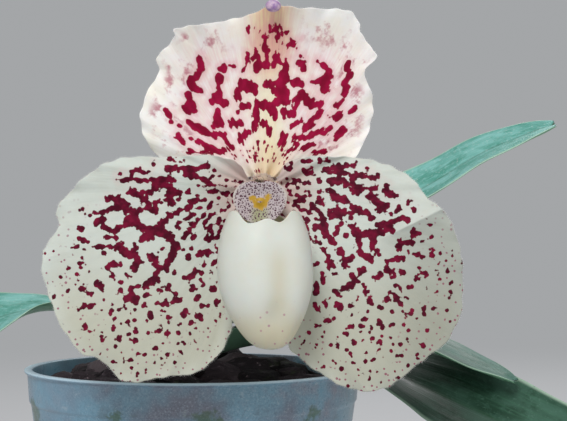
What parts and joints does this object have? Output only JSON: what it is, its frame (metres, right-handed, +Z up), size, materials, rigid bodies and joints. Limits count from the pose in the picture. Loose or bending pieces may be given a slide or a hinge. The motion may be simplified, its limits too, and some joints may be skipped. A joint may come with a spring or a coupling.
{
  "type": "potted paphiopedilum orchid",
  "caption": "Paphiopedilum orchid with a spotted round-petalled bloom and strap leaves, in a tapered plastic pot of bark.",
  "frame": {"origin": "centre of the pot's underside, on the surface that it stands on", "axes": "+Z up, -Y out of the front of the flower, +X to the right as seen from the front, the longer leaves' way"},
  "size_m": [0.1705, 0.1077, 0.1372],
  "materials": {
    "pot_plastic": "milky translucent pale blue plastic",
    "bark": "dark rough bark chunks",
    "root": "matt brown and hairy",
    "leaf_base": "satin green",
    "leaf": "satin blue-green, mottled",
    "scape": "matt, hairy purplish green",
    "bract": "matt yellow-green with purple flecks",
    "ovary": "matt, hairy purplish brown",
    "petal": "satin cream white with maroon spots",
    "lip": "satin ivory",
    "column": "matt tan with fine hairs",
    "staminode": "satin lilac white with a yellow centre"
  },
  "bodies": {
    "root": {"pot": "pot_plastic", "potting_bark": "bark", "roots": "root", "crown": "leaf_base", "leaf_low_right": "leaf", "leaf_mid_right": "leaf", "leaf_high_right": "leaf", "leaf_left": "leaf", "leaf_young": "leaf", "scape": "scape", "bract": "bract", "ovary": "ovary", "dorsal_sepal": "petal", "synsepal": "petal", "petal_left": "petal", "petal_right": "petal", "lip_pouch": "lip", "column": "column", "staminode": "staminode"}
  },
  "joints": []
}
